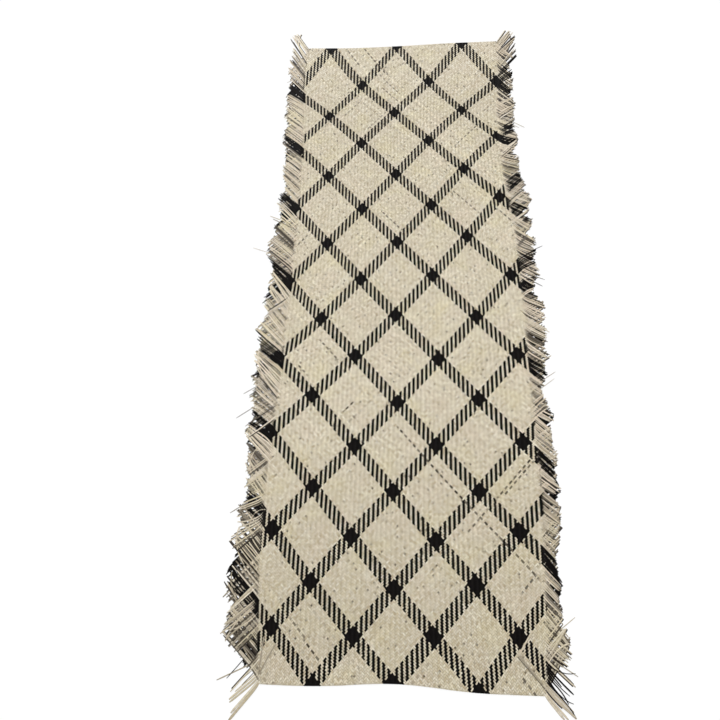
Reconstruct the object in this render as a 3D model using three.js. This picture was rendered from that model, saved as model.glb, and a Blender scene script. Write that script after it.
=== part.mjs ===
// A plaited floor mat of split rattan, lying flat. Lengths are in millimetres.
//
// Two sets of strands cross corner-wise, each over two and under two of the other. At the head and
// the foot every strand turns back into the plait, so those two edges are closed. Along both long
// sides the raw strand ends stand out as a fringe. +X is to the right, +Y towards the head, +Z up,
// and the origin is under the middle of the whole mat, on the surface that it lies on.
import * as THREE from 'three';

// Thicknesses of one split strand, and of the plait where two strands lie on each other.
const strandThickness = 0.9;
const plaitThickness = 2.0;
const fringeThickness = 1.6;
const strandWidth = 3.9;

// Play between neighbouring pieces.
const gap = 0.3;

// The long edges of the plait, a row for each station: the distance along the mat from its middle,
// and where the left and right edges lie there. The mat is widest near the foot.
const sideStations = [
  { along: -864, left: -293, right: 284 },
  { along: -756, left: -304, right: 294 },
  { along: -600, left: -311, right: 303 },
  { along: -432, left: -308, right: 307 },
  { along: -216, left: -295, right: 304 },
  { along: 0, left: -285, right: 301 },
  { along: 216, left: -278, right: 295 },
  { along: 324, left: -276, right: 281 },
  { along: 540, left: -277, right: 273 },
  { along: 756, left: -284, right: 283 },
  { along: 864, left: -275, right: 287 },
];

// The turned-back edges, a row for each station across the mat from left to right: where the foot
// edge and the head edge lie there. Neither is quite straight.
const endStations = [
  { foot: -865, head: 868 },
  { foot: -862, head: 860 },
  { foot: -859, head: 859 },
  { foot: -867, head: 861 },
  { foot: -868, head: 859 },
];

// The fringes, a row for each station from the foot to the head: how far the strand ends reach past
// the woven edge, and how far they lean towards the head for each millimetre of that reach.
const leftFringe = [
  { along: -864, reach: 60, lean: 0.5 },
  { along: -764, reach: 79, lean: 0.6 },
  { along: -580, reach: 66, lean: 0.9 },
  { along: -377, reach: 60, lean: 1.0 },
  { along: -98, reach: 73, lean: 1.0 },
  { along: 162, reach: 70, lean: 1.0 },
  { along: 319, reach: 50, lean: 1.0 },
  { along: 671, reach: 54, lean: 0.9 },
  { along: 864, reach: 62, lean: 1.0 },
];
const rightFringe = [
  { along: -864, reach: 52, lean: -0.8 },
  { along: -765, reach: 42, lean: -0.9 },
  { along: -640, reach: 36, lean: -0.9 },
  { along: -373, reach: 50, lean: -0.9 },
  { along: -170, reach: 76, lean: -0.8 },
  { along: -78, reach: 62, lean: -0.7 },
  { along: 115, reach: 66, lean: -0.6 },
  { along: 300, reach: 56, lean: -0.4 },
  { along: 540, reach: 62, lean: -0.2 },
  { along: 709, reach: 57, lean: -0.1 },
  { along: 864, reach: 50, lean: 0.3 },
];

// The long strand ends at the four corners, where their tips lie.
const cornerTips = {
  leftFoot: { x: -352, y: -931 },
  leftHead: { x: -342, y: 931 },
  rightFoot: { x: 338, y: -905 },
  rightHead: { x: 352, y: 896 },
};
const cornerTipWidth = 6;
const cornerRootWidth = 26;

// Each fringe is a comb: a narrow band along the woven edge that carries the teeth.
const bandWidth = 7;
const toothPitch = 24;
const toothShare = 0.84; // of the pitch, at the root
const tipShare = 0.45; // of the pitch, at the tip
const shortestReach = 0.72; // of the station's reach
const leanPlay = 0.04;

// The loose strand at the right foot corner: it comes up out of the plait, lies over it, folds
// and runs off past the corner.
const foldedStrandRoute = [
  { x: 274, y: -747 },
  { x: 237, y: -798 },
  { x: 284, y: -860 },
  { x: 336, y: -902 },
];

const pointsPerStation = 4;

function splitRattan(color, roughness) {
  return new THREE.MeshStandardMaterial({ color, roughness, metalness: 0 });
}

const woven = splitRattan(0xcfc6ac, 0.6);
const rawEnds = splitRattan(0xcbbfa5, 0.65);
const paleStrand = splitRattan(0xd9cfb8, 0.6);

// A value between -1 and 1 for tooth number `index`, the same in every run.
function uneven(index, stream) {
  const wave = Math.sin(index * 12.9898 + stream * 78.233) * 43758.5453;
  return 2 * (wave - Math.floor(wave)) - 1;
}

// The value of `column` at `along`, straight between the table's stations.
function atStation(table, column, along) {
  const last = table.length - 1;
  const next = table.findIndex((row) => row.along >= along);
  if (next === 0) return table[0][column];
  if (next === -1) return table[last][column];
  const from = table[next - 1];
  const to = table[next];
  const share = (along - from.along) / (to.along - from.along);
  return THREE.MathUtils.lerp(from[column], to[column], share);
}

// A smooth run through the given points.
function smoothRun(points) {
  const curve = new THREE.SplineCurve(points);
  return curve.getPoints(pointsPerStation * (points.length - 1));
}

// The end stations lie evenly between the two long edges.
function endPoint(index, column) {
  const share = index / (endStations.length - 1);
  const corner = column === 'head' ? sideStations.at(-1) : sideStations[0];
  const x = THREE.MathUtils.lerp(corner.left, corner.right, share);
  return new THREE.Vector2(x, endStations[index][column]);
}

// A long edge from the foot to the head, ending on the corners of the turned-back edges.
function sideEdge(column) {
  const corner = column === 'left' ? 0 : endStations.length - 1;
  const inner = sideStations.slice(1, -1).map((row) => new THREE.Vector2(row[column], row.along));
  return smoothRun([endPoint(corner, 'foot'), ...inner, endPoint(corner, 'head')]);
}

function endEdge(column) {
  return smoothRun(endStations.map((row, index) => endPoint(index, column)));
}

// A flat piece of the given outline, with its underside at height `low`.
function plate(name, outline, low, thickness, material) {
  const geometry = new THREE.ExtrudeGeometry(new THREE.Shape(outline), {
    depth: thickness,
    bevelEnabled: false,
  });
  const mesh = new THREE.Mesh(geometry, material);
  mesh.name = name;
  mesh.position.z = low;
  return mesh;
}

function wovenField() {
  const foot = endEdge('foot');
  const right = sideEdge('right');
  const head = endEdge('head').reverse();
  const left = sideEdge('left').reverse();
  const outline = [foot, right, head, left].flatMap((run) => run.slice(0, -1));
  return plate('woven_field', outline, 0, plaitThickness, woven);
}

// A tooth that stands on the band from `foot` to `head`, with its tip cut square to the mat.
function tooth(edgeX, outward, along, index, table) {
  const reach = atStation(table, 'reach', along);
  const lean = atStation(table, 'lean', along) + leanPlay * uneven(index, 1);
  const share = THREE.MathUtils.lerp(shortestReach, 1, 0.5 + 0.5 * uneven(index, 2));
  const length = reach * share - bandWidth;
  const root = edgeX + outward * (gap + bandWidth);
  const tip = root + outward * length;
  const middle = along + lean * length;
  return [
    new THREE.Vector2(root, along - (toothPitch * toothShare) / 2),
    new THREE.Vector2(tip, middle - (toothPitch * tipShare) / 2),
    new THREE.Vector2(tip, middle + (toothPitch * tipShare) / 2),
    new THREE.Vector2(root, along + (toothPitch * toothShare) / 2),
  ];
}

// The long strand ends at a corner: a narrow tooth from the end of the band to its tip.
function cornerTuft(corner, outward, towardsHead, tip) {
  const root = corner.x + outward * (gap + bandWidth);
  const inner = new THREE.Vector2(corner.x + outward * gap, corner.y);
  const outer = new THREE.Vector2(root, corner.y - towardsHead * cornerRootWidth);
  const side = new THREE.Vector2(-(tip.y - corner.y), tip.x - corner.x).setLength(cornerTipWidth / 2);
  const tipA = new THREE.Vector2(tip.x + side.x, tip.y + side.y);
  const tipB = new THREE.Vector2(tip.x - side.x, tip.y - side.y);
  const tipInner = Math.abs(tipA.x) < Math.abs(tipB.x) ? tipA : tipB;
  const tipOuter = tipInner === tipA ? tipB : tipA;
  return [inner, tipInner, tipOuter, outer];
}

function fringe(name, column, outward, table, footTip, headTip) {
  const edge = sideEdge(column);
  const foot = edge[0];
  const head = edge.at(-1);
  const innerSide = edge.slice(1, -1).map((p) => new THREE.Vector2(p.x + outward * gap, p.y));
  const footTuft = cornerTuft(foot, outward, -1, footTip);
  const headTuft = cornerTuft(head, outward, 1, headTip);
  const teeth = [];
  const first = foot.y + cornerRootWidth + toothPitch;
  const count = Math.floor((head.y - cornerRootWidth - toothPitch - first) / toothPitch) + 1;
  for (let index = 0; index < count; index += 1) {
    const along = first + index * toothPitch;
    const next = edge.findIndex((p) => p.y >= along);
    const from = edge[next - 1];
    const to = edge[next];
    const edgeX = THREE.MathUtils.mapLinear(along, from.y, to.y, from.x, to.x);
    teeth.push(...tooth(edgeX, outward, along, index, table));
  }
  const outline = [...footTuft, ...teeth, ...headTuft.reverse(), ...innerSide.reverse()];
  return plate(name, outline, 0, fringeThickness, rawEnds);
}

// The outline of a strand that runs flat along a route, mitred at its bends.
function strandOutline(route, width) {
  const points = route.map((p) => new THREE.Vector2(p.x, p.y));
  const sides = points.map((point, index) => {
    const before = points[Math.max(index - 1, 0)];
    const after = points[Math.min(index + 1, points.length - 1)];
    const incoming = index === 0 ? after.clone().sub(point) : point.clone().sub(before);
    const outgoing = index === points.length - 1 ? incoming.clone() : after.clone().sub(point);
    const heading = incoming.normalize().add(outgoing.normalize()).normalize();
    const across = new THREE.Vector2(-heading.y, heading.x);
    const bend = Math.abs(across.x * -outgoing.y + across.y * outgoing.x);
    return across.multiplyScalar(width / 2 / bend);
  });
  const left = points.map((point, index) => point.clone().add(sides[index]));
  const right = points.map((point, index) => point.clone().sub(sides[index]));
  return [...left, ...right.reverse()];
}

function foldedStrand() {
  const outline = strandOutline(foldedStrandRoute, strandWidth);
  return plate('folded_strand', outline, plaitThickness + gap, strandThickness, paleStrand);
}

const mat = new THREE.Group();
mat.add(wovenField());
mat.add(fringe('fringe_left', 'left', -1, leftFringe, cornerTips.leftFoot, cornerTips.leftHead));
mat.add(fringe('fringe_right', 'right', 1, rightFringe, cornerTips.rightFoot, cornerTips.rightHead));
mat.add(foldedStrand());

// The origin goes under the middle of the whole mat, fringes included.
const middle = new THREE.Box3().setFromObject(mat).getCenter(new THREE.Vector3());
mat.position.set(-middle.x, -middle.y, 0);

export default mat;
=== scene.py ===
"""A plaited floor mat of split rattan, lying flat.

Every strand is a real one here: two sets of split rattan cross corner-wise, over two and under two,
turn back into the plait at the head and the foot, and run out as raw ends along both long sides.
Lengths are in millimetres until a mesh is made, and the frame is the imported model's: +X to the
right, +Y towards the head, +Z up, with the floor at zero.
"""
import math

import bpy
import numpy as np
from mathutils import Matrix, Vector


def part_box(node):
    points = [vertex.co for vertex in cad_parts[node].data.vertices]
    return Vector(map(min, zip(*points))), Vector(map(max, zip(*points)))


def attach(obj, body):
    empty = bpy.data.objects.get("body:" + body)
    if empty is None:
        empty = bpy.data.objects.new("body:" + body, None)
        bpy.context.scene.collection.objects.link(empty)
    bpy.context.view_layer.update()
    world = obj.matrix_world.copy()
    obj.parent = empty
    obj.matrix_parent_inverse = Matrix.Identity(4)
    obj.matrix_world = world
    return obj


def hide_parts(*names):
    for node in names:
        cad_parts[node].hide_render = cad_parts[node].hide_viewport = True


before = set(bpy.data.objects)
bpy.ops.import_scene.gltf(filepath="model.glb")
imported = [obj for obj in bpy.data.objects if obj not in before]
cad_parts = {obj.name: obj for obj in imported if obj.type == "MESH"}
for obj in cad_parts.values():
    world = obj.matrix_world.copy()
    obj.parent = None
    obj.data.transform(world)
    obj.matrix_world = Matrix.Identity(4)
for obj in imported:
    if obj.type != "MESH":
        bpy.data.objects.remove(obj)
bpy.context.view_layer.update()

MM = 0.001

# ---------------------------------------------------------------- camera

# A standing adult's phone, held out over the foot of the mat and tipped towards the head.
CAMERA_PLACE = (23, -669, 1371)
CAMERA_TIPPED = 20.6  # degrees towards the head
CAMERA_LEANED = 4.6  # degrees to the side
CAMERA_TURNED = -0.45
LENS = 30.0
SENSOR_WIDTH = 36.0


def make_camera():
    data = bpy.data.cameras.new("camera")
    data.lens = LENS
    data.sensor_width = SENSOR_WIDTH
    camera = bpy.data.objects.new("camera", data)
    camera.location = [v * MM for v in CAMERA_PLACE]
    camera.rotation_mode = "ZYX"
    camera.rotation_euler = [math.radians(a) for a in (CAMERA_TIPPED, CAMERA_LEANED, CAMERA_TURNED)]
    bpy.context.scene.collection.objects.link(camera)
    bpy.context.scene.camera = camera


# ---------------------------------------------------------------- sizes of the plait

STRAND_THICKNESS = 0.75  # at the crown of the split strand
UPPER_LAYER = 1.05  # how high a strand's flat back is where it passes over
STRAND_SPACING = 3.84  # from the middle of one strand to the middle of the next, on average
HALF_WIDTH = {"pale": 0.46, "dyed": 0.58}  # of the spacing of the strands
WIDTH_PLAY = 0.06  # how much narrower a strand may be, as a share of its width
PASS_OVER = 2  # strands, and as many under
PERIOD = 2 * PASS_OVER
# Where the first strand that a strand passes over lies, counted from the strand's own number.
OVER_STARTS = {"rising": -1, "falling": 2}
# In strands: from the middle of a dip to where the strand is level again, and how much further than
# the two strands it passes over it stays up. The dyed strands are wider and stiffer than the pale.
DIP = {"pale": 0.2, "dyed": 0.08}
STAYS_UP = {"pale": 0.0, "dyed": 0.24}
LEAVES_AT = 0.5  # strands past the last one that it crosses, where a strand leaves the plait

# The black bands of each set. `counts` are the strands from the middle of one band to the middle of
# the next along the plait: the rising set's first band is at the left head corner, the falling set's
# at the right one. `drift` is how far a band lies from its even place, as a share of the spacing of
# the bands. A band is seven dyed strands, from -3 to +3 of its middle one, unless `width` says so.
RISING = {
    "first_band": -1,
    "counts": (40, 40, 40, 41, 39, 35, 41, 36, 36, 31, 33, 34),
    "drift": {5: -0.04, 6: 0.04, 7: -0.02, 8: 0.02, 9: -0.04, 10: 0.02},
    "width": {1: (-2, 3), 9: (-3, 4)},
}
FALLING = {
    "first_band": -3,
    "counts": (41, 40, 40, 40, 39, 37, 38, 37, 35, 32, 31, 36),
    "drift": {2: 0.01, 4: -0.01},
    "width": {-1: (-3, 2)},
}
USUAL_WIDTH = (-3, 3)
ROWS = 16  # of half lozenges from the head to the foot

# How the lozenges really lie, a row for each station: the row of crossings, how far along the mat
# it is, where its middle is, the spacing of its crossings, and how it slants and sags.
LATTICE = (
    {"row": 0, "along": 859, "middle": -7, "spacing": 98.2, "slant": 0, "sag": 3},
    {"row": 1, "along": 716, "middle": -10, "spacing": 97.6, "slant": 0.9, "sag": -5.7},
    {"row": 2, "along": 606, "middle": -11, "spacing": 95.0, "slant": 0.3, "sag": -1.7},
    {"row": 3, "along": 502, "middle": -10, "spacing": 94.2, "slant": 1.3, "sag": 0.8},
    {"row": 4, "along": 392, "middle": -7, "spacing": 93.0, "slant": 2.4, "sag": 6.2},
    {"row": 6, "along": 178, "middle": -3, "spacing": 92.7, "slant": 1.9, "sag": 2.4},
    {"row": 8, "along": -39, "middle": -4, "spacing": 96.3, "slant": 1.6, "sag": 0.1},
    {"row": 10, "along": -259, "middle": -8, "spacing": 98.5, "slant": -2.1, "sag": 6.2},
    {"row": 12, "along": -473, "middle": -12, "spacing": 94.0, "slant": -2.6, "sag": 10.2},
    {"row": 14, "along": -674, "middle": -13, "spacing": 88.5, "slant": 0.1, "sag": 7.0},
    {"row": 15, "along": -769, "middle": -13, "spacing": 85.4, "slant": -0.4, "sag": 4.1},
    {"row": 16, "along": -859, "middle": -11, "spacing": 84.5, "slant": -2.0, "sag": 0},
)
MIDDLE_COLUMN = 2


def smooth(stations, values, at):
    """The values at the places `at`, on a smooth run through the stations."""
    stations = np.asarray(stations, float)
    values = np.asarray(values, float)
    slopes = np.gradient(values, stations)
    i = np.clip(np.searchsorted(stations, at, side="right") - 1, 0, len(stations) - 2)
    step = stations[i + 1] - stations[i]
    t = (at - stations[i]) / step
    inside = np.clip(t, 0, 1)
    run = (
        (2 * inside**3 - 3 * inside**2 + 1) * values[i]
        + (inside**3 - 2 * inside**2 + inside) * step * slopes[i]
        + (3 * inside**2 - 2 * inside**3) * values[i + 1]
        + (inside**3 - inside**2) * step * slopes[i + 1]
    )
    beyond = (t - inside) * step
    return run + beyond * np.where(t < 0, slopes[i], slopes[i + 1])


def column(table, name):
    return np.array([row[name] for row in table], float)


def band_places(bands):
    """Each band's place on the lattice, and the number of its middle strand. Strand 0 is in band 0."""
    numbers = np.concatenate([[0], np.cumsum(bands["counts"])])
    numbers = numbers - numbers[-bands["first_band"]]
    names = np.arange(bands["first_band"], bands["first_band"] + len(numbers))
    return names + np.array([bands["drift"].get(int(name), 0.0) for name in names]), numbers


def dyed_numbers(bands):
    """The numbers of the dyed strands."""
    numbers = band_places(bands)[1]
    dyed = set()
    for name, number in enumerate(numbers, bands["first_band"]):
        before, after = bands["width"].get(name, USUAL_WIDTH)
        dyed.update(range(number + before, number + after + 1))
    return dyed


RISING_BANDS, RISING_PLACES = band_places(RISING)
FALLING_BANDS, FALLING_PLACES = band_places(FALLING)
DYED = {"rising": dyed_numbers(RISING), "falling": dyed_numbers(FALLING)}
LAST_BAND = ROWS // 2
FOOT_SUM = int(
    RISING_PLACES[LAST_BAND - RISING["first_band"]] + FALLING_PLACES[LAST_BAND - FALLING["first_band"]]
)


END_BAND = 15.0  # from the head and the foot, where the outline's points are on a turned-back edge


def outline_of_field():
    """The woven part's edges from its solid: left and right along the mat, head and foot across."""
    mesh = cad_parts["woven_field"].data
    points = np.array([v.co[:2] for v in mesh.vertices]) / MM
    low, high = (np.array(corner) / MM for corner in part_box("woven_field"))
    middle = (low + high) / 2
    ends = abs(points[:, 1] - middle[1]) > (high[1] - low[1]) / 2 - END_BAND
    sides = ~ends | (abs(points[:, 0] - middle[0]) > (high[0] - low[0]) / 2 - END_BAND * 2)

    def run(chosen, along, across):
        part = points[chosen]
        part = part[np.argsort(part[:, along])]
        return part[:, along], part[:, across]

    return {
        "left": run(sides & (points[:, 0] < middle[0]), 1, 0),
        "right": run(sides & (points[:, 0] > middle[0]), 1, 0),
        "foot": run(ends & (points[:, 1] < middle[1]), 0, 1),
        "head": run(ends & (points[:, 1] > middle[1]), 0, 1),
    }


OUTLINE = outline_of_field()


def edge(name, at):
    stations, values = OUTLINE[name]
    return np.interp(at, stations, values)


def spot(rising, falling):
    """Where the point at these strand numbers lies on the floor. The numbers may be fractions."""
    p = smooth(RISING_PLACES, RISING_BANDS, rising)
    q = smooth(FALLING_PLACES, FALLING_BANDS, falling)
    row = p + q
    steps = p - q - MIDDLE_COLUMN
    rows = column(LATTICE, "row")
    x = smooth(rows, column(LATTICE, "middle"), row)
    x = x + steps * smooth(rows, column(LATTICE, "spacing"), row)
    y = smooth(rows, column(LATTICE, "along"), row)
    y = y + steps * smooth(rows, column(LATTICE, "slant"), row)
    y = y + (steps / 2) ** 2 * smooth(rows, column(LATTICE, "sag"), row)
    return x, pull_to_ends(x, y, row, steps)


def pull_to_ends(x, y, row, steps):
    """Brings the first and last rows onto the turned-back edges."""
    for name, end, at in (("head", 0, LATTICE[0]), ("foot", ROWS, LATTICE[-1])):
        drawn = at["along"] + steps * at["slant"] + (steps / 2) ** 2 * at["sag"]
        near = np.clip(1 - abs(row - end), 0, 1) ** 2
        y = y + near * (edge(name, x) - drawn)
    return y


# ---------------------------------------------------------------- strands as meshes

UV_SHARE = 0.9  # of a strand's own strip of the map that its width takes


class StrandMesh:
    """Gathers strands, each a closed ribbon with a flat back and a crowned face."""

    def __init__(self):
        self.points = []
        self.quads = []
        self.caps = []
        self.strand_uv = []
        self.bake_uv = []
        self.marks = {"stain": [], "shade": [], "under": []}
        self.runs = []
        self.count = 0
        self.number = 0

    def add(self, left, crown, right, along, number, stain=0.0, shade=0.0, under=0.0):
        """left, crown and right are (n, 3) arrays of points in mm, and along is the run so far.

        number is the strand's own, which its tone comes from. stain, shade and under, for each point
        along it, are how brown it is, how much painted shade darkens it, and how far it dips below its
        neighbours.
        """
        n = len(crown)
        first = self.count
        self.runs.append(along)
        self.points.append(np.stack([left, crown, right], 1).reshape(-1, 3))
        ring = first + 3 * np.arange(n - 1)
        nxt = ring + 3
        for a, b in ((0, 1), (1, 2), (2, 0)):
            self.quads.append(np.stack([ring + a, ring + b, nxt + b, nxt + a], 1))
        last = first + 3 * (n - 1)
        self.caps.append([[first + 2, first + 1, first], [last, last + 1, last + 2]])
        across = np.tile([-0.5, 0.0, 0.5], n) * UV_SHARE
        self.strand_uv.append(np.stack([np.repeat(along, 3), number + across], 1))
        self.bake_uv.append(np.stack([self.number + 0.5 + across, np.repeat(along, 3)], 1))
        for name, values in (("stain", stain), ("shade", shade), ("under", under)):
            self.marks[name].append(np.repeat(np.broadcast_to(values, n), 3))
        self.count += 3 * n
        self.number += 1

    def make(self, name, material):
        points = np.concatenate(self.points) * MM
        quads = np.concatenate(self.quads)
        caps = np.concatenate(self.caps)
        mesh = bpy.data.meshes.new(name)
        mesh.vertices.add(len(points))
        mesh.vertices.foreach_set("co", points.ravel())
        corners = np.concatenate([quads.ravel(), caps.ravel()])
        sizes = np.concatenate([np.full(len(quads), 4), np.full(len(caps), 3)])
        mesh.loops.add(len(corners))
        mesh.loops.foreach_set("vertex_index", corners)
        mesh.polygons.add(len(sizes))
        mesh.polygons.foreach_set("loop_start", np.concatenate([[0], np.cumsum(sizes)[:-1]]))
        mesh.update(calc_edges=True)
        strand_uv = np.concatenate(self.strand_uv)[corners]
        bake_uv = np.concatenate(self.bake_uv)
        bake_uv = (bake_uv / [self.number, bake_uv[:, 1].max()])[corners]
        for label, uv in (("strand", strand_uv), ("OFBake", bake_uv)):
            layer = mesh.uv_layers.new(name=label)
            layer.data.foreach_set("uv", uv.ravel())
        for label, values in self.marks.items():
            mark = mesh.attributes.new(label, "FLOAT", "POINT")
            mark.data.foreach_set("value", np.concatenate(values))
        mesh.polygons.foreach_set("use_smooth", np.ones(len(sizes), bool))
        mark_sharp_edges(mesh)
        mesh.materials.append(material)
        mesh.validate()
        piece = bpy.data.objects.new(name, mesh)
        bpy.context.scene.collection.objects.link(piece)
        return piece

    def size(self):
        """Width and length of the floor it covers, in metres."""
        points = np.concatenate(self.points)[:, :2]
        return [float(v) for v in (points.max(0) - points.min(0)) * MM]


def mark_sharp_edges(mesh):
    """The long edges of the ribbons are sharp, and the crown between them is rounded."""
    ends = np.zeros(len(mesh.edges) * 2, int)
    mesh.edges.foreach_get("vertices", ends)
    ends = ends.reshape(-1, 2)
    on_edge = (ends % 3 != 1).all(1)
    sharp = mesh.attributes.new("sharp_edge", "BOOLEAN", "EDGE")
    sharp.data.foreach_set("value", on_edge)


def woven_cells():
    """For each strand of both sets, the first and last strand that it crosses in the plait."""
    rising = np.arange(RISING_PLACES[0], RISING_PLACES[-1] + 1)
    falling = np.arange(FALLING_PLACES[0], FALLING_PLACES[-1] + 1)
    grid_r, grid_f = np.meshgrid(rising, falling, indexing="ij")
    total = grid_r + grid_f
    x, y = spot(grid_r.ravel(), grid_f.ravel())
    x = x.reshape(grid_r.shape)
    y = y.reshape(grid_r.shape)
    inside = (total >= 0) & (total <= FOOT_SUM)
    inside &= (x > edge("left", y)) & (x < edge("right", y))
    spans = {"rising": {}, "falling": {}}
    for k, number in enumerate(rising):
        crossed = falling[inside[k]]
        if len(crossed) > 1:
            spans["rising"][int(number)] = (int(crossed[0]), int(crossed[-1]))
    for k, number in enumerate(falling):
        crossed = rising[inside[:, k]]
        if len(crossed) > 1:
            spans["falling"][int(number)] = (int(crossed[0]), int(crossed[-1]))
    return spans


# Strands that have gone brown over part of their length, which the plait shows as a row of dashes:
# the set, the strand's number, and the strands of the other set that it crosses there.
BROWNED = (
    {"set": "falling", "strand": 164, "from": 246, "to": 362, "stain": 1.0},
    {"set": "falling", "strand": 70, "from": 134, "to": 156, "stain": 0.9},
    {"set": "falling", "strand": 20, "from": 163, "to": 190, "stain": 0.8},
    {"set": "falling", "strand": 8, "from": 198, "to": 212, "stain": 0.9},
    {"set": "falling", "strand": -9, "from": 9, "to": 27, "stain": 0.8},
    {"set": "falling", "strand": -20, "from": 20, "to": 50, "stain": 0.9},
    {"set": "rising", "strand": 318, "from": 120, "to": 150, "stain": 1.0},
    {"set": "rising", "strand": 360, "from": 163, "to": 175, "stain": 1.0},
    {"set": "rising", "strand": 104, "from": 122, "to": 135, "stain": 0.9},
    {"set": "falling", "strand": -16, "from": 45, "to": 70, "stain": 0.7},
    {"set": "rising", "strand": 50, "from": 11, "to": 32, "stain": 0.7},
    {"set": "rising", "strand": 74, "from": 4, "to": 28, "stain": 0.7},
    {"set": "rising", "strand": 141, "from": -40, "to": -9, "stain": 0.8},
    {"set": "rising", "strand": 135, "from": -61, "to": -51, "stain": 0.7},
    {"set": "falling", "strand": 278, "from": 277, "to": 290, "stain": 0.8},
    {"set": "falling", "strand": 279, "from": 290, "to": 303, "stain": 1.0},
    {"set": "falling", "strand": 203, "from": 383, "to": 396, "stain": 1.0},
    {"set": "rising", "strand": 320, "from": 119, "to": 146, "stain": 1.0},
    {"set": "rising", "strand": 318, "from": 157, "to": 176, "stain": 0.8},
    {"set": "rising", "strand": 216, "from": 174, "to": 184, "stain": 0.9},
    {"set": "falling", "strand": 164, "from": 171, "to": 189, "stain": 0.9},
    {"set": "falling", "strand": 185, "from": 174, "to": 183, "stain": 0.9},
    {"set": "falling", "strand": -21, "from": 44, "to": 54, "stain": 0.8},
    {"set": "falling", "strand": -10, "from": 55, "to": 75, "stain": 0.8},
)


def finish_of(family, number):
    return "dyed" if number in DYED[family] else "pale"


def build_of(family, number):
    """How a strand is built: the few pale ones that have gone brown are as coarse as the dyed."""
    coarse = any(row["set"] == family and row["strand"] == number for row in BROWNED)
    return "dyed" if coarse else finish_of(family, number)


def level_marks(family, number):
    """Where a strand's pattern starts, and where in it the strand is up, down and up again."""
    build = build_of(family, number)
    dip, extra = DIP[build], STAYS_UP[build]
    start = number + OVER_STARTS[family] - 0.5
    up, down = dip - extra, PASS_OVER + dip + extra
    return start, np.array([up, PASS_OVER - up, down, PERIOD + PASS_OVER - down])


SHORTEST_STEP = 0.05  # strands, from a strand's end to the nearest bend in it


def level_points(family, number, first, last):
    """Where, between two crossings, a strand reaches or leaves its upper and lower level."""
    start, marks = level_marks(family, number)
    periods = np.arange(math.floor((first - start) / PERIOD) - 1, math.ceil((last - start) / PERIOD) + 1)
    at = (start + periods[:, None] * PERIOD + marks[None, :]).ravel()
    at = at[(at > first + SHORTEST_STEP) & (at < last - SHORTEST_STEP)]
    return np.concatenate([[first], at, [last]])


def level(family, number, at):
    """The height of a strand's flat back: up over two strands, down under the next two."""
    start, marks = level_marks(family, number)
    phase = np.mod(at - start - marks[0], PERIOD)
    up, down, low, rise = marks - marks[0]
    return UPPER_LAYER * np.interp(phase, [up, down, low, rise, PERIOD], [1, 1, 0, 0, 1])


def place(family, number, at):
    """A point at fraction `number` across the strands of one set and `at` along the other."""
    return spot(number, at) if family == "rising" else spot(at, number)


def turned(total):
    """Whether these two strands cross on a turned-back edge."""
    return total in (0, FOOT_SUM)


def strand_rings(family, number, span, half_width):
    """The left, crown and right points of one woven strand."""
    first, last = span
    head_turn = turned(number + first)
    foot_turn = turned(number + last)
    begin = first if head_turn else first - LEAVES_AT
    end = last if foot_turn else last + LEAVES_AT
    at = level_points(family, number, begin, end)
    skew = np.zeros(len(at))
    skew[0] = half_width if head_turn else 0
    skew[-1] = half_width if foot_turn else 0
    height = level(family, number, at)
    rings = []
    for side, rise in ((-1, 0.0), (0, STRAND_THICKNESS), (1, 0.0)):
        x, y = place(family, np.full(len(at), number + side * half_width), at - side * skew)
        rings.append(np.stack([x, y, height + rise], 1))
    along = run_along(rings[1])
    if family == "falling":
        rings = rings[::-1]
    return rings, along, at, 1 - height / UPPER_LAYER


def run_along(points):
    return np.concatenate([[0], np.cumsum(np.hypot(*np.diff(points[:, :2], axis=0).T))])


TURN_STEPS = 4
EDGE_DROP = 0.4  # how far the edges of a fold lie inside its crown


def turn_rings(number, total, half_width):
    """The fold of the strand that turns back where its two runs' numbers add up to `total`."""
    outward = 1 if total == 0 else -1
    middle_height = (UPPER_LAYER + STRAND_THICKNESS) / 2
    angles = np.linspace(0, math.pi, TURN_STEPS + 1)
    rings = []
    edge_radius = middle_height - EDGE_DROP
    for side, radius in ((outward, edge_radius), (0, middle_height), (-outward, edge_radius)):
        at = number + side * half_width
        x, y = spot(np.array([at]), np.array([total - at]))
        x = np.full(len(angles), x[0])
        y = y[0] + outward * radius * np.sin(angles)
        rings.append(np.stack([x, y, middle_height + radius * np.cos(angles)], 1))
    return rings, middle_height * angles


UNTURNED_FROM = 1000  # numbers from here on are those of strands that don't turn back


def own_number(family, number, span):
    """One number for both runs of a strand that turns back, which its tone comes from."""
    if family == "rising":
        return number
    for turn, crossed in ((0, span[0]), (FOOT_SUM, span[1])):
        if number + crossed == turn:
            return turn - number
    return number + UNTURNED_FROM


def weave(spans, rng):
    """The strands of both sets, pale and dyed, as meshes still without materials."""
    gathered = {}
    for family in ("rising", "falling"):
        middle = split_number(spans[family])
        for number, span in sorted(spans[family].items()):
            finish = finish_of(family, number)
            name = f"{family}_{finish}"
            if finish == "pale":
                name += "_head" if number < middle else "_foot"
            half_width = HALF_WIDTH[build_of(family, number)] * (1 - WIDTH_PLAY * rng.random())
            rings, along, at, under = strand_rings(family, number, span, half_width)
            own = own_number(family, number, span)
            mesh = gathered.setdefault(name, StrandMesh())
            stain, shade = tones(family, number, at, along, under, rng)
            mesh.add(*rings, along, own, stain, shade, under)
            if family == "rising":
                for crossed in span:
                    if turned(number + crossed):
                        rings, run = turn_rings(number, number + crossed, half_width)
                        mesh.add(*rings, run, own)
    return gathered


STREAK_CHANCE = 0.05  # of a brown streak somewhere on a strand
STREAK_LENGTHS = (40.0, 260.0)
STREAK_STAINS = (0.15, 0.4)
SPOT_CHANCE = 0.016  # of a brown spot where a strand passes over
STAIN_PLAY = {"spot": 0.6, "streak": 0.4, "browned": 0.3}  # how much fainter a stretch may be
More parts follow.
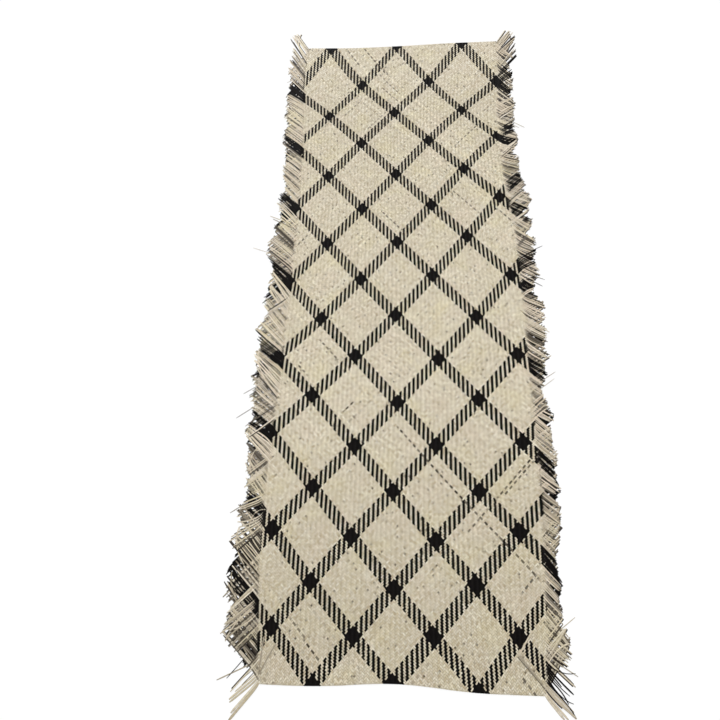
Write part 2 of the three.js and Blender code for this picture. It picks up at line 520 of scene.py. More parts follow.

# Painted shade: each stretch that shows is darker as if it had turned a little away from the light.
# Neighbours lean against each other too: beside a stretch that one presses up lies one that it presses
# down. The rising set takes a little painted shade all over. The spans are of a draw from 0 to 1, from
# where a stretch is not darker at all to where it is fully so.
SET_SHADE = {"rising": 0.06, "falling": 0.0}
AWAY_SPAN = (0.444, 1.0)
PRESSED_SPAN = (0.409, 0.864)
STRETCH_SHADE = 0.36  # of a stretch that is turned away fully, and of one that is pressed down fully
SHADE_REPEAT = 256  # strands and stretches before the draws come round again
TURNED_AWAY, PRESSED_DOWN = np.random.default_rng(11).random((2, SHADE_REPEAT, SHADE_REPEAT))


def stretch_shades(family, number, at):
    """How much painted shade each point of a strand takes, from the stretch between two dips that it is
    on.
    """
    stretch = np.floor((at - number - OVER_STARTS[family] + 0.5) / PERIOD).astype(int)
    stretch = (stretch + (SHADE_REPEAT // 2 if family == "rising" else 0)) % SHADE_REPEAT
    away = np.interp(TURNED_AWAY[number % SHADE_REPEAT, stretch], AWAY_SPAN, (0, 1))
    pressed = PRESSED_DOWN[(number // 2) % SHADE_REPEAT, stretch]
    pressed = np.interp(pressed if number % 2 else 1 - pressed, PRESSED_SPAN, (0, 1))
    return SET_SHADE[family] + STRETCH_SHADE * (away + pressed)


def tones(family, number, at, along, under, rng):
    """How brown a strand is at each of its points, and how much painted shade it takes: each stretch that
    shows has its own.
    """
    on_top = under < 0.5
    stretch = np.cumsum(np.concatenate([[0], np.diff(on_top.astype(int)) != 0]))
    fainter = 1 - rng.random(stretch[-1] + 1)[stretch]
    depth = {name: 1 - play * fainter for name, play in STAIN_PLAY.items()}
    stain = np.where(rng.random(len(at)) < SPOT_CHANCE, depth["spot"], 0.0)
    if rng.random() < STREAK_CHANCE:
        length = rng.uniform(*STREAK_LENGTHS)
        start = rng.uniform(-length / 2, max(along[-1] - length / 2, 1))
        inside = (along > start) & (along < start + length)
        stain = np.maximum(stain, inside * rng.uniform(*STREAK_STAINS) * depth["streak"])
    for row in BROWNED:
        if row["set"] == family and row["strand"] == number:
            inside = (at > row["from"]) & (at < row["to"])
            stain = np.maximum(stain, inside * row["stain"] * depth["browned"])
    return stain * on_top, stretch_shades(family, number, at)


def split_number(spans):
    """The strand that shares one set's crossings into two equal halves."""
    numbers = sorted(spans)
    crossings = np.cumsum([spans[n][1] - spans[n][0] + 1 for n in numbers])
    return numbers[int(np.searchsorted(crossings, crossings[-1] / 2))]


# ---------------------------------------------------------------- raw ends along the long sides

# How far out the tips of the raw ends lie, from the foot to the head along each long side.
TIPS = {
    "left": {
        "along": (
            -931, -910, -895, -857, -840, -812, -775, -735, -719, -699, -640, -606, -580, -550, -514,
            -490, -433, -410, -382, -340, -280, -247, -217, -196, -180, -155, -117, -85, -68, -53, -20,
            0, 40, 110, 131, 155, 190, 208, 236, 248, 300, 325, 358, 406, 433, 479, 517, 546, 581, 604,
            640, 671, 728, 753, 776, 815, 850, 887, 913, 934,
        ),
        "out": (
            347, 332, 353, 357, 316, 344, 382, 369, 361, 378, 374, 358, 383, 358, 369,
            352, 350, 357, 353, 365, 350, 361, 357, 367, 352, 362, 350, 356, 363, 351, 333,
            349, 338, 334, 343, 355, 353, 333, 335, 317, 329, 329, 313, 325, 320, 319, 333, 330, 318, 328,
            330, 331, 326, 321, 333, 332, 326, 330, 339, 341,
        ),
    },
    "right": {
        "along": (
            -930, -905, -878, -864, -849, -816, -788, -763, -727, -679, -660, -643, -608, -578, -528,
            -500, -476, -464, -449, -412, -400, -368, -332, -311, -295, -282, -229, -201, -182, -157,
            -149, -130, -105, -72, -61, -45, -30, -6, 19, 50, 85, 112, 150, 185, 194, 208, 240, 247,
            270, 319, 332, 350, 380, 403, 441, 452, 496, 529, 581, 631, 658, 679, 743, 776, 796, 850,
            897,
        ),
        "out": (
            352, 351, 349, 345, 352, 332, 347, 345, 338, 335, 342, 335, 331, 342, 350,
            353, 344, 359, 350, 350, 358, 352, 348, 345, 362, 349, 334, 352, 348, 349,
            369, 350, 357, 361, 343, 361, 352, 360, 336, 342, 356, 346, 354, 358, 322, 348, 352, 327,
            346, 352, 327, 341, 328, 327, 329, 315, 333, 326, 328, 335, 316, 333, 331, 327, 352, 351,
            352,
        ),
    },
}

# How many degrees flatter the raw ends of each set lie than in the plait, and where the rising ones
# come out on top of the falling ones (a share from 0 to 1), from the foot to the head.
LEANS = {
    "left": {
        "falling": {
            "along": (
                -900, -800, -720, -600, -560, -520, -470, -400, -360, -310, -240, -200, -160,
                -120, -40, 40, 80, 200, 900,
            ),
            "turn": (6, 8, 4, 4, 14, 16, -2, 4, 14, 12, -2, 8, 16, 4, -8, -2, 7, 3, 2),
        },
        "rising": {
            "along": (-900, -760, -690, -600, -560, -520, -480, -440, -400, -300, 60, 900),
            "turn": (2, 8, 10, 4, 6, 24, 26, 10, 4, 8, 12, 6),
        },
        "over": {
            "along": (
                -840, -820, -700, -670, -570, -540, -500, -460, -430, -390, -340, -310, -280, 60, 150,
            ),
            "share": (0.1, 0.9, 0.8, 0.1, 0.2, 0.8, 0.6, 0.1, 0.8, 0.2, 0.1, 0.6, 0.1, 0.1, 0),
        },
    },
    "right": {
        "falling": {
            "along": (
                -900, -720, -680, -620, -560, -520, -480, -440, -400, -280, -240, -200, -160, -40, 0,
                40, 80, 160, 240, 280, 320, 400, 480, 520, 560, 640, 680, 760, 900,
            ),
            "turn": (
                3, 3, 8, -5, 5, 11, 14, 3, 5, 9, 5, 11, 20, 11, 17,
                28, 15, 23, 17, 27, 20, 17, 30, 27, 20, 15, 11, 5, 5,
            ),
        },
        "rising": {
            "along": (
                -900, -760, -640, -480, -300, -160, -40, 40, 80, 160, 240, 280, 320, 400, 440, 500,
                560, 640, 720, 800, 840, 900,
            ),
            "turn": (0, 5, 0, 20, 10, 12, 20, 25, 20, 5, 20, 18, 12, 15, 2, 18, 5, 18, 5, 12, 0, 8),
        },
        "over": {
            "along": (
                -800, -785, -750, -735, -600, -480, -340, -295, -250, 240, 310, 350,
                400, 470, 580, 620, 670, 780, 820, 900,
            ),
            "share": (
                0, 0.9, 0.9, 0.05, 0, 0.05, 0.1, 0.5, 0.1, 0.1, 0.3, 0.4,
                0.2, 0.5, 0.3, 0.6, 0.2, 0.2, 0.6, 1,
            ),
        },
    },
}
UNSTEADY = {"left": 2.0, "right": 4.0}  # degrees that whole tufts lie askew

# Single ends that stand out past the rest: the set, how far along the mat it leaves the plait, where
# its tip is, how wide it is as a share of a whole strand, how brown, and how many degrees it curls
# over the curl's run, if it does.
STRAYS = (
    {"set": "falling", "from": 120, "x": -392, "y": 163, "width": 0.5, "stain": 0.3},
    {"set": "falling", "from": 225, "x": -353, "y": 262, "width": 0.7, "stain": 0.2},
    {"set": "falling", "from": 215, "x": -344, "y": 253, "width": 0.7, "stain": 0.6},
    {"set": "rising", "from": -180, "x": -379, "y": -238, "width": 0.5, "stain": 0.8},
    {"set": "rising", "from": -235, "x": -391, "y": -299, "width": 0.5, "stain": 0.8},
    {"set": "rising", "from": -260, "x": -366, "y": -320, "width": 0.6, "stain": 0.8},
    {"set": "rising", "from": -470, "x": -385, "y": -520, "width": 0.7, "stain": 0.6},
    {"set": "rising", "from": -815, "x": -382, "y": -855, "width": 0.7, "stain": 0.3},
    {"set": "rising", "from": -790, "x": -358, "y": -856, "width": 0.5, "stain": 0.8},
    {"set": "rising", "from": 770, "x": -338, "y": 744, "width": 0.5, "stain": 0.4},
    {"set": "falling", "from": 450, "x": -332, "y": 510, "width": 0.7, "stain": 0.3},
    {"set": "falling", "from": 590, "x": 353, "y": 537, "width": 0.6, "stain": 0.3},
    {"set": "falling", "from": 580, "x": 338, "y": 537, "width": 0.5, "stain": 0.3},
    {"set": "rising", "from": 120, "x": 372, "y": 150, "width": 0.4, "stain": 1.0},
    {"set": "falling", "from": 90, "x": 369, "y": 62, "width": 0.6, "stain": 0.9},
    {"set": "falling", "from": 80, "x": 361, "y": 42, "width": 0.8, "stain": 1.0},
    {"set": "rising", "from": -230, "x": 372, "y": -190, "width": 0.5, "stain": 0.4},
    {"set": "rising", "from": -250, "x": 367, "y": -207, "width": 0.5, "stain": 0.4},
    {"set": "rising", "from": -775, "x": 363, "y": -725, "width": 0.5, "stain": 0.2},
    {"set": "falling", "from": -790, "x": 358, "y": -828, "width": 0.6, "stain": 0.4},
    {"set": "rising", "from": -862, "x": -347, "y": -931, "width": 2.0, "stain": 0.2},
    {"set": "rising", "from": -855, "x": -344, "y": -918, "width": 1.8, "stain": 0.1},
    {"set": "rising", "from": -849, "x": -350, "y": -897, "width": 1.5, "stain": 0.2},
    {"set": "rising", "from": -842, "x": -351, "y": -892, "width": 1.6, "stain": 0.1},
    {"set": "rising", "from": -836, "x": -340, "y": -878, "width": 1.1, "stain": 0.1},
    {"set": "rising", "from": -833, "x": -326, "y": -866, "width": 0.6, "stain": 0.8},
    {"set": "rising", "from": -826, "x": -334, "y": -860, "width": 0.5, "stain": 0.3, "curl": 20},
    {"set": "falling", "from": -865, "x": 322, "y": -907, "width": 1.5, "stain": 0.1},
    {"set": "falling", "from": -862, "x": 330, "y": -907, "width": 1.5, "stain": 0.0},
    {"set": "falling", "from": -856, "x": 320, "y": -887, "width": 1.5, "stain": 1.0},
    {"set": "falling", "from": -850, "x": 346, "y": -904, "width": 1.4, "stain": 0.1},
    {"set": "falling", "from": -843, "x": 342, "y": -893, "width": 1.3, "stain": 0.2},
    {"set": "falling", "from": -840, "x": 344, "y": -899, "width": 0.8, "stain": 0, "curl": -9},
    {"set": "falling", "from": -834, "x": 342, "y": -882, "width": 0.5, "stain": 0, "curl": 34},
    {"set": "falling", "from": -828, "x": 334, "y": -880, "width": 0.7, "stain": 0, "curl": -22},
    {"set": "falling", "from": -821, "x": 336, "y": -866, "width": 0.6, "stain": 0, "curl": 12},
    {"set": "falling", "from": -818, "x": 322, "y": -850, "width": 0.7, "stain": 0, "curl": -12},
    {"set": "falling", "from": -812, "x": 344, "y": -863, "width": 1.0, "stain": 0, "curl": 5},
    {"set": "falling", "from": -806, "x": 355, "y": -822, "width": 0.5, "stain": 0, "curl": 40},
)
LONGEST_END = 150.0
SHORTEST_END = 12.0
END_REACH = (0.92, 1.03)  # of the way to the outline of the tips, each end by itself
STRAY_LIFT = 0.35  # from one stray to the next, where several lie on each other
STRAY_LAYERS = 3
SWING_RUN = 26.0  # from the plait to where a raw end has all its lean
SETTLE_RUN = 12.0  # from the plait to where it lies at its own height
CURL_RUN = 60.0
CURL_IN_RUN = {"pale": 12.0, "dyed": 28.0}  # from the plait to where it has dried and curled in
RAW_HALF_WIDTH = {"pale": 0.42, "dyed": 0.46}  # of the spacing, once it has
RAW_WIDTHS = (0.8, 1.1)  # of that, each end by itself
ROLL = 0.1  # how much one edge may lie above the other
FLOOR_GAP = 0.02
RING_SPACING = 8.0
FEWEST_RINGS = 4
TAPER_RUN = 7.0
TIP_WIDTH = 0.6  # of the whole width
TIP_THICKNESS = 0.5
END_LAYERS = {"rising": 0.2, "falling": 1.0, "over": 1.8}  # heights of the ends' backs
LAYER_PLAY = 0.25
HEADING_STEP = 0.2  # strands, over which the direction of a strand is taken where it leaves the plait


def raw_ends(spans):
    """Each strand end that stands out past a long side, grouped by side and set."""
    ends = {(side, family): [] for side in TIPS for family in ("rising", "falling")}
    for family in ("rising", "falling"):
        for number, span in sorted(spans[family].items()):
            for crossed, outward in zip(span, (-1, 1)):
                if turned(number + crossed):
                    continue
                at = crossed + outward * LEAVES_AT
                ahead = at + outward * HEADING_STEP
                x, y = place(family, np.array([number, number]), np.array([at, ahead]))
                end = {
                    "number": number,
                    "own": own_number(family, number, span),
                    "family": family,
                    "at": at,
                    "dyed": number in DYED[family],
                    "x": x[0],
                    "y": y[0],
                    "heading": math.atan2(y[1] - y[0], x[1] - x[0]),
                }
                ends["left" if x[0] < 0 else "right", family].append(end)
    for group in ends.values():
        group.sort(key=lambda end: end["y"])
    return ends


def lean(side, name, value, y):
    return float(np.interp(y, LEANS[side][name]["along"], LEANS[side][name][value]))


def near_right_head(end):
    return end["x"] > 0 and end["y"] > 0


LOCK_SIZES = (2, 5)  # the fewest strands in a lock, and one more than the most
LOCKS_IN_TUFT = (2, 6)  # the fewest, and one more than the most
TUFT_REACH = (0.92, 1.03)
OWN_SWING = 0.8  # degrees
USUAL_CURL = 1.5  # degrees over the curl's run
STRONG_CURL = 12.0
USUAL_SHARE = 0.9  # of the ends that curl only as much as usual
CROSSING_REACH = 25.0  # from the plait to the middle of the fringe, where the two sets cross
DRAWN_IN = 0.25  # how much of its distance from the lock's middle an end loses


def gather_tufts(side, family, group, rng):
    """Shares neighbouring ends out into locks that draw together, a few of which swing as a tuft."""
    flatter = 1 if family == "falling" else -1
    first = 0
    locks_left = 0
    while first < len(group):
        if locks_left == 0:
            locks_left = int(rng.integers(*LOCKS_IN_TUFT))
            swing = rng.normal(0, UNSTEADY[side])
            reach = rng.uniform(*TUFT_REACH)
        size = int(rng.integers(*LOCK_SIZES))
        lock = group[first : first + size]
        middle = [sum(end[name] for end in lock) / len(lock) for name in ("x", "y")]
        askew = rng.normal(0, UNSTEADY[side] / 2)
        there = middle[1] + CROSSING_REACH * math.sin(lock[0]["heading"])
        over = rng.random() < lean(side, "over", "share", there)
        for end in lock:
            aside = math.cos(end["heading"]) * (end["y"] - middle[1])
            aside -= math.sin(end["heading"]) * (end["x"] - middle[0])
            end["swing"] = flatter * lean(side, family, "turn", end["y"]) + swing + askew
            end["swing"] += rng.normal(0, OWN_SWING)
            end["aside"] = -DRAWN_IN * aside
            end["curl"] = rng.normal(0, USUAL_CURL if rng.random() < USUAL_SHARE else STRONG_CURL)
            end["reach"] = reach * rng.uniform(*END_REACH)
            on_top = near_right_head(end) if end["dyed"] else over
            end["over"] = family == "rising" and on_top
            end["beneath"] = over == (family == "falling")
        first += size
        locks_left -= 1


def end_path(end, length):
    """The points of the middle of a raw end, as it leaves the plait and swings."""
    run = np.linspace(0, length, max(int(length / RING_SPACING) + 1, FEWEST_RINGS))
    share = np.clip(run / SWING_RUN, 0, 1)
    turn = end["swing"] * share**2 * (3 - 2 * share) + end["curl"] * (run / CURL_RUN) ** 2
    heading = end["heading"] + np.radians(turn)
    middle = (heading[1:] + heading[:-1]) / 2
    step = np.diff(run)
    x = end["x"] + np.concatenate([[0], np.cumsum(np.cos(middle) * step)])
    y = end["y"] + np.concatenate([[0], np.cumsum(np.sin(middle) * step)])
    aside = end["aside"] * share
    return x - aside * np.sin(heading), y + aside * np.cos(heading), heading, run


def length_to_outline(side, end):
    """How long the end is when its tip lies on the outline of the tips."""
    x, y, _, run = end_path(end, LONGEST_END)
    tips = TIPS[side]
    out = np.interp(y, tips["along"], tips["out"])
    past = (abs(x) > out) | (y > tips["along"][-1]) | (y < tips["along"][0])
    if not past.any():
        return LONGEST_END
    k = int(np.argmax(past))
    return float(run[k]) - RING_SPACING / 2


def choose_strays(ends):
    """Turns the nearest raw end towards each stray's tip, and gives it the length to reach it."""
    for k, stray in enumerate(STRAYS):
        side = "left" if stray["x"] < 0 else "right"
        group = [end for end in ends[side, stray["set"]] if "length" not in end]
        end = min(group, key=lambda end: abs(end["y"] - stray["from"]))
        across, along = stray["x"] - end["x"], stray["y"] - end["y"]
        turn = math.degrees(math.atan2(along, across) - end["heading"])
        end["swing"] = (turn + 180) % 360 - 180
        end["aside"] = 0
        end["length"] = math.hypot(across, along)
        end["curl"] = stray.get("curl", 0)
        end["swing"] -= end["curl"] * (end["length"] / CURL_RUN) ** 2 / 3  # so that the tip stays put
        end["over"] = False
        end["raised"] = STRAY_LIFT * (k % STRAY_LAYERS)
        end["width"] = stray["width"]
        end["stain"] = stray["stain"]


def end_rings(end, length, rng):
    """The left, crown and right points of a raw end."""
    x, y, heading, run = end_path(end, length)
    family = end["family"]
    base = float(level(family, end["number"], np.array([end["at"]]))[0])
    layer = END_LAYERS["over" if end["over"] else family] + LAYER_PLAY * rng.random()
    layer += end.get("raised", 0)
    settle = np.clip(run / (SWING_RUN if end["over"] else SETTLE_RUN), 0, 1)
    finish = "dyed" if end["dyed"] else "pale"
    curled = np.clip(run / CURL_IN_RUN[finish], 0, 1)
    height = base + (layer - base) * settle
    to_tip = np.clip((length - run) / TAPER_RUN, 0, 1)
    full, narrow = HALF_WIDTH[finish], RAW_HALF_WIDTH[finish] * rng.uniform(*RAW_WIDTHS)
    half = STRAND_SPACING * (full + (narrow * end.get("width", 1) - full) * curled)
    half = half * np.interp(to_tip, (0, 1), (TIP_WIDTH, 1))
    crown = STRAND_THICKNESS * np.interp(to_tip, (0, 1), (TIP_THICKNESS, 1))
    roll = rng.normal(0, ROLL) * settle
    side_x, side_y = np.sin(heading), -np.cos(heading)
    rings = []
    for side, rise in ((1, 0.0), (0, crown), (-1, 0.0)):
        z = np.maximum(height + rise + side * roll, FLOOR_GAP)
        rings.append(np.stack([x + side * half * side_x, y + side * half * side_y, z], 1))
    return rings, run


# How brown the raw ends are, a row for each kind: the span of its stain, and the share of the ends
# that are no browner than this kind, of those on top and of those beneath, which are darker from painted
# shade under the ends above as well as from dirt.
END_STAINS = (
    {"stain": (0.0, 0.1), "on_top": 0.58, "beneath": 0.4},
    {"stain": (0.15, 0.4), "on_top": 0.74, "beneath": 0.58},
    {"stain": (0.5, 0.85), "on_top": 0.89, "beneath": 0.82},
    {"stain": (0.85, 1.0), "on_top": 2.0, "beneath": 2.0},
)
MORE_SOILED = 0.05  # of the ends, towards the head on the right, are one kind browner
STAIN_RUN = 8.0  # from the plait, where an end is half as brown, to where it is all as brown


def end_stain(end, run, rng):
    """How brown a raw end is along its length."""
    if "stain" in end:
        return np.full(len(run), end["stain"])
    draw = rng.random() + (MORE_SOILED if near_right_head(end) else 0)
    place_in_fringe = "beneath" if end["beneath"] else "on_top"
    kind = next(row for row in END_STAINS if draw < row[place_in_fringe])
    return rng.uniform(*kind["stain"]) * np.interp(run, (0, STAIN_RUN), (0.5, 1))


# Beneath the raw ends lie dark strips of painted shade, which show as the dark slits between them:
# how long they are as a share of the ends above.
SHADE_STRIP_REACH = (0.85, 1.0)
SHADE_STRIP_THICKNESS = 0.3
SHADE_STRIP_HALF_WIDTH = 0.48  # of the spacing
SHADE_STRIP_ROOT = 0.4  # of that width, where it comes out of the plait
SHADE_STRIP_ROOT_HEIGHT = 0.35


def shade_strip_rings(end, length):
    """A dark strip of painted shade half a strand beside a raw end, flat on the floor."""
    x, y, heading, run = end_path(end, length)
    keep = np.unique(np.append(np.arange(0, len(run), 2), len(run) - 1))
    x, y, heading, run = x[keep], y[keep], heading[keep], run[keep]
    side_x, side_y = np.sin(heading), -np.cos(heading)
    height = SHADE_STRIP_ROOT_HEIGHT * np.clip(1 - run / SWING_RUN, 0, 1)
    spread = SHADE_STRIP_HALF_WIDTH * np.clip(run / SWING_RUN, SHADE_STRIP_ROOT, 1)
    rings = []
    for side, rise in ((1, 0.0), (0, SHADE_STRIP_THICKNESS), (-1, 0.0)):
        aside = STRAND_SPACING * (0.5 + side * spread)
        rings.append(np.stack([x + aside * side_x, y + aside * side_y, height + rise], 1))
    return rings, run


def fringes(spans, rng):
    """The raw ends of both sides, pale and dyed, as meshes still without materials."""
    gathered = {}
    ends = raw_ends(spans)
    for (side, family), group in ends.items():
        gather_tufts(side, family, group, rng)
    choose_strays(ends)
    for (side, family), group in ends.items():
        for end in group:
            length = end.get("length")
            if length is None:
                length = max(length_to_outline(side, end) * end["reach"], SHORTEST_END)
            rings, run = end_rings(end, length, rng)
            name = f"fringe_{side}_" + ("dyed" if end["dyed"] else "pale")
            mesh = gathered.setdefault(name, StrandMesh())
            mesh.add(*rings, run, end["own"], end_stain(end, run, rng))
            if "stain" not in end:
                # A strip of painted shade beside the end, with the full brown stain.
                rings, run = shade_strip_rings(end, length * rng.uniform(*SHADE_STRIP_REACH))
                mesh.add(*rings, run, end["own"], stain=1.0)
    return gathered


# The loose strand at the right foot corner: it comes up out of the plait, lies over it, folds sharply
# and runs off past the corner, with a narrow dark strip along its lower side that is a painted shadow.
# And two fibres that lie on the plait at the left foot corner. Each run is at a height of its own,
# where they cross.
FOLDED_STRAND = (
    {"route": ((272, -750), (258, -771), (241, -797)), "half_width": 1.7, "raised": 0.5, "stain": 0.0},
    {"route": ((241, -795), (262, -820), (289, -851)), "half_width": 1.7, "raised": 0.0, "stain": 0.38},
    # A painted shadow: the narrow dark strip along the lower side of the second leg.
    {"route": ((239, -799), (261, -824), (288, -855)), "half_width": 0.9, "raised": 0.1, "stain": 0.75},
    {"route": ((286, -848), (312, -878), (343, -903)), "half_width": 2.1, "raised": 0.4, "stain": 0.22},
)
LOOSE_FIBRES = (
    {"route": ((-285, -776), (-288, -812), (-291, -846)), "half_width": 1.3, "raised": 0.0, "stain": 0.42},
    {"route": ((-259, -789), (-275, -817), (-289, -846)), "half_width": 1.4, "raised": 0.2, "stain": 0.42},
)
LAID_HEIGHT = UPPER_LAYER + STRAND_THICKNESS + 0.2
LAID_CROWN = 0.35  # of half its width
LAID_STEP = 4.0
LAID_NUMBER = 3000


def laid_strands(runs):
    """Strands that lie on top of the plait, each along a route of points."""
    strands = StrandMesh()
    for row in runs:
        half_width = row["half_width"]
        route = np.array(row["route"], float)
        stations = run_along(route)
        run = np.linspace(0, stations[-1], int(stations[-1] / LAID_STEP))
        x = smooth(stations, route[:, 0], run)
        y = smooth(stations, route[:, 1], run)
        heading = np.arctan2(np.gradient(y), np.gradient(x))
        rings = []
        for side, rise in ((1, 0.0), (0, half_width * LAID_CROWN), (-1, 0.0)):
            side_x = x + side * half_width * np.sin(heading)
            side_y = y - side * half_width * np.cos(heading)
            height = np.full(len(run), LAID_HEIGHT + row["raised"] + rise)
            rings.append(np.stack([side_x, side_y, height], 1))
        strands.add(*rings, run, LAID_NUMBER, row["stain"])
    return strands


# ---------------------------------------------------------------- materials


def linear(hex_colour):
    """An sRGB hex colour as linear RGBA."""
    parts = [int(hex_colour[i : i + 2], 16) / 255 for i in (1, 3, 5)]
    return [p / 12.92 if p <= 0.04045 else ((p + 0.055) / 1.055) ** 2.4 for p in parts] + [1.0]


def add_node(tree, kind, inputs=(), **settings):
    """Adds a node with its settings. Each input, by name or number, is a value or a socket to link."""
    node = tree.nodes.new("ShaderNode" + kind)
    for key, value in settings.items():
        setattr(node, key, value)
    for key, value in dict(inputs).items():
        if isinstance(value, bpy.types.NodeSocket):
            tree.links.new(value, node.inputs[key])
        else:
            node.inputs[key].default_value = value
    return node


def new_material(name):
    material = bpy.data.materials.new(name)
    material.use_nodes = True
    tree = material.node_tree
    return material, tree, tree.nodes["Principled BSDF"]


def strand_place(tree):
    """From a strand's own map: how far along it a point is in mm, its number, and its share across."""
    uv = add_node(tree, "UVMap", uv_map="strand")
    parts = add_node(tree, "SeparateXYZ", {0: uv.outputs[0]})
    along, over = parts.outputs[0], parts.outputs[1]
    number = add_node(tree, "Math", {0: over}, operation="ROUND").outputs[0]
    across = add_node(tree, "Math", {0: over, 1: number}, operation="SUBTRACT").outputs[0]
    return along, number, across


def tinted(tree, colour, factor, span, most, hex_colour):
    """The colour, turned towards another by up to `most` as the factor goes over its span."""
    share = add_node(tree, "MapRange", {0: factor, 1: span[0], 2: span[1], 3: 0.0, 4: most}).outputs[0]
    mixed = add_node(tree, "Mix", {0: share, 6: colour, 7: linear(hex_colour)}, data_type="RGBA")
    return mixed.outputs[2]


def strand_tone(tree, number):
    """From 0 to 1, each strand's own."""
    return add_node(tree, "TexWhiteNoise", {"W": number}, noise_dimensions="1D").outputs["Value"]


def change_along(tree, along, number, length, apart, detail):
    """A value that changes over `length` mm of a strand, with each strand `apart` from the next."""
    place = add_node(tree, "CombineXYZ", {0: along, 1: number}).outputs[0]
    scaled = add_node(tree, "VectorMath", {0: place, 1: (1 / length, apart, 0)}, operation="MULTIPLY")
    settings = {"Vector": scaled.outputs[0], "Scale": 1.0, "Detail": detail}
    return add_node(tree, "TexNoise", settings, noise_dimensions="2D").outputs["Fac"]


def long_fibres(tree, along, number, across):
    """Fibres that run along the strand, a third of a millimetre wide and some 30 mm long."""
    place = add_node(tree, "CombineXYZ", {0: along, 1: across, 2: number}).outputs[0]
    stretched = add_node(tree, "VectorMath", {0: place, 1: (1 / 30, 11.0, 3.7)}, operation="MULTIPLY")
    noise = add_node(tree, "TexNoise", {"Vector": stretched.outputs[0], "Scale": 1.0, "Detail": 2.0})
    return noise.outputs["Fac"]


def finish_surface(tree, shader, colour, fibre, specular):
    """Links the colour, and lets the fibres dull and roughen the surface."""
    rough = add_node(tree, "MapRange", {0: fibre, 1: 0.3, 2: 0.8, 3: 0.5, 4: 0.68}).outputs[0]
    bump = add_node(tree, "Bump", {"Height": fibre, "Strength": 0.25, "Distance": 0.0002})
    tree.links.new(colour, shader.inputs["Base Color"])
    tree.links.new(rough, shader.inputs["Roughness"])
    tree.links.new(bump.outputs[0], shader.inputs["Normal"])
    shader.inputs["Specular IOR Level"].default_value = specular


def peeled_rattan(name, clean, other, shaded, brown):
    """Split rattan with the bark peeled off: a dry, silky, straw-pale wood with long fine fibres.

    Each strand is cut from another length of cane, so its tone is its own, and age has turned some
    of them brown in streaks and spots.
    """
    material, tree, shader = new_material(name)
    along, number, across = strand_place(tree)
    colour = tinted(tree, linear(clean), strand_tone(tree, number), (0, 1), 1.0, other)

    # Tone that changes along each strand over some 150 mm of it. Painted shade over some 4 mm of it,
    # as its fibres turn to the light and away.
    drift = change_along(tree, along, number, 150, 7.31, 2.0)
    colour = tinted(tree, colour, drift, (0.35, 0.7), 0.4, shaded)
    turn = change_along(tree, along, number, 4, 3.17, 0.0)
    colour = tinted(tree, colour, turn, (0.45, 0.65), 0.36, "#9A8660")

    # Patches of a hand's width where the whole plait is yellower or rosier.
    place = add_node(tree, "TexCoord").outputs["Object"]
    patch = add_node(tree, "TexNoise", {"Vector": place, "Scale": 14.0, "Detail": 3.0}).outputs["Fac"]
    colour = tinted(tree, colour, patch, (0.5, 0.7), 0.3, "#EDE2AE")
    colour = tinted(tree, colour, patch, (0.5, 0.3), 0.3, "#EDDCC8")

    # Painted shade: the plait is greyer and darker towards the foot, where the light falls off.
    along_mat = add_node(tree, "SeparateXYZ", {0: place}).outputs[1]
    colour = tinted(tree, colour, along_mat, (-0.2, -0.75), 0.34, "#A09883")

    fibre = long_fibres(tree, along, number, across)
    colour = tinted(tree, colour, fibre, (0.55, 0.75), 0.35, "#B8A684")

    # Painted shade: each stretch that shows between two dips is darker by its own amount, as if turned a
    # little from the light.
    shade = add_node(tree, "Attribute", attribute_name="shade").outputs["Fac"]
    colour = tinted(tree, colour, shade, (0, 1), 0.7, "#968058")

    # Painted shade and some dust: the split edges, and a strand where it dips under its neighbours, are
    # darker.
    off_middle = add_node(tree, "Math", {0: across}, operation="ABSOLUTE").outputs[0]
    colour = tinted(tree, colour, off_middle, (0.3, 0.43), 0.35, "#4A3B22")
    under = add_node(tree, "Attribute", attribute_name="under").outputs["Fac"]
    colour = tinted(tree, colour, under, (0, 0.7), 0.6, "#4A3B22")

    stain = add_node(tree, "Attribute", attribute_name="stain").outputs["Fac"]
    colour = tinted(tree, colour, stain, (0, 1), 1.0, brown)

    finish_surface(tree, shader, colour, fibre, 0.25)
    return material


def dyed_rattan():
    """The same split rattan, boiled in a black dye: nearly black, with the silk of the wood left."""
    material, tree, shader = new_material("dyed_split_rattan")
    along, number, across = strand_place(tree)
    colour = tinted(tree, linear("#070606"), strand_tone(tree, number), (0, 1), 1.0, "#0F0C0A")
    fibre = long_fibres(tree, along, number, across)
    colour = tinted(tree, colour, fibre, (0.6, 0.8), 0.3, "#2A211B")
    finish_surface(tree, shader, colour, fibre, 0.06)
    return material


# ---------------------------------------------------------------- light and floor

FLOOR_HALF = 6.0  # metres
FLOOR_DROP = 0.0002  # metres, so that the floor doesn't touch the strands
FLOOR_WHITE = 0.85  # how far the floor is plain white to the eye; the rest of it keeps the shadow
WORLD_STRENGTH = 0.66  # on the mat; to the eye the backdrop is plain white
SUN_STRENGTH = 2.6
SUN_SIZE = 24  # degrees
SUN_PLACE = (-0.7, 2.6, 2.0)


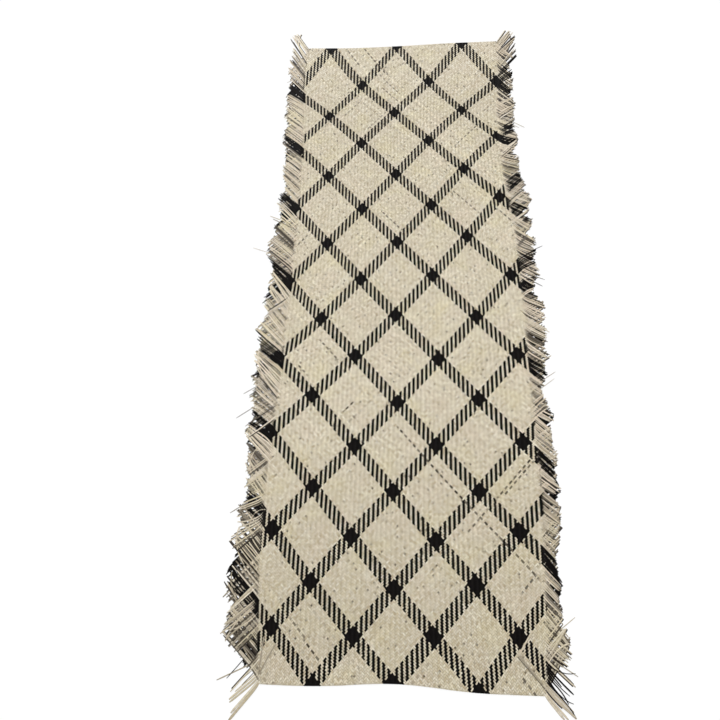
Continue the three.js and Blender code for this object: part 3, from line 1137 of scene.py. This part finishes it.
def make_floor():
    corners = [(x * FLOOR_HALF, y * FLOOR_HALF, 0) for x, y in ((-1, -1), (1, -1), (1, 1), (-1, 1))]
    mesh = bpy.data.meshes.new("floor")
    mesh.from_pydata(corners, [], [(0, 1, 2, 3)])
    material, tree, shader = new_material("pale_floor")
    shader.inputs["Base Color"].default_value = linear("#FAFAFA")
    shader.inputs["Roughness"].default_value = 0.9
    seen = add_node(tree, "LightPath").outputs["Is Camera Ray"]
    glow = add_node(tree, "Emission", {"Color": (1, 1, 1, 1), "Strength": 1.0}).outputs[0]
    share = add_node(tree, "Math", {0: seen, 1: FLOOR_WHITE}, operation="MULTIPLY").outputs[0]
    mix = add_node(tree, "MixShader", {0: share, 1: shader.outputs[0], 2: glow})
    tree.links.new(mix.outputs[0], tree.nodes["Material Output"].inputs["Surface"])
    mesh.materials.append(material)
    floor = bpy.data.objects.new("floor", mesh)
    floor.location.z = -FLOOR_DROP
    bpy.context.scene.collection.objects.link(floor)


def make_lights():
    world = bpy.data.worlds.new("studio")
    bpy.context.scene.world = world
    world.use_nodes = True
    tree = world.node_tree
    tree.nodes["Background"].inputs["Color"].default_value = (1, 1, 1, 1)
    seen = add_node(tree, "LightPath").outputs["Is Camera Ray"]
    strength = add_node(tree, "MapRange", {0: seen, 3: WORLD_STRENGTH, 4: 1.0}).outputs[0]
    tree.links.new(strength, tree.nodes["Background"].inputs["Strength"])
    data = bpy.data.lights.new("key", "SUN")
    data.energy = SUN_STRENGTH
    data.angle = math.radians(SUN_SIZE)
    key = bpy.data.objects.new("key", data)
    key.location = SUN_PLACE
    key.rotation_euler = key.location.to_track_quat("Z", "Y").to_euler()
    bpy.context.scene.collection.objects.link(key)


# ---------------------------------------------------------------- the mat

make_camera()
make_lights()
make_floor()
bpy.context.scene.view_settings.view_transform = "Standard"

FINISHES = {
    "woven_rattan": peeled_rattan("peeled_split_rattan", "#EEE5CF", "#F6F1E1", "#DED2B1", "#2A1E12"),
    # The brown of the raw ends is also the colour of the strips of painted shade beneath them.
    "raw_rattan": peeled_rattan("raw_split_rattan", "#D3C6AE", "#F3EBDB", "#C2B295", "#241B13"),
    "dyed_rattan": dyed_rattan(),
}


def dress(name, strands, slot, replaced):
    """Makes a piece of strands that rides on the mat and stands for a solid of the frame."""
    piece = strands.make(name, FINISHES[slot])
    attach(piece, "root")
    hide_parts(replaced)
    return piece


rng = np.random.default_rng(7)
spans = woven_cells()
sheets = {}
for name, strands in weave(spans, rng).items():
    if name.endswith("dyed"):
        dress(name, strands, "dyed_rattan", "woven_field")
    else:
        sheets[name] = (dress(name, strands, "woven_rattan", "woven_field"), strands)
for name, strands in fringes(spans, rng).items():
    slot = "dyed_rattan" if name.endswith("dyed") else "raw_rattan"
    dress(name, strands, slot, "fringe_left" if "left" in name else "fringe_right")
dress("loose_folded_strand", laid_strands(FOLDED_STRAND), "raw_rattan", "folded_strand")
dress("loose_fibres", laid_strands(LOOSE_FIBRES), "raw_rattan", "woven_field")

# The mat is one sheet of plaiting. Its pale strands are four pieces, each a layer of it, and this
# takes the width and length of floor that each covers.
for piece, strands in sheets.values():
    width, length = strands.size()
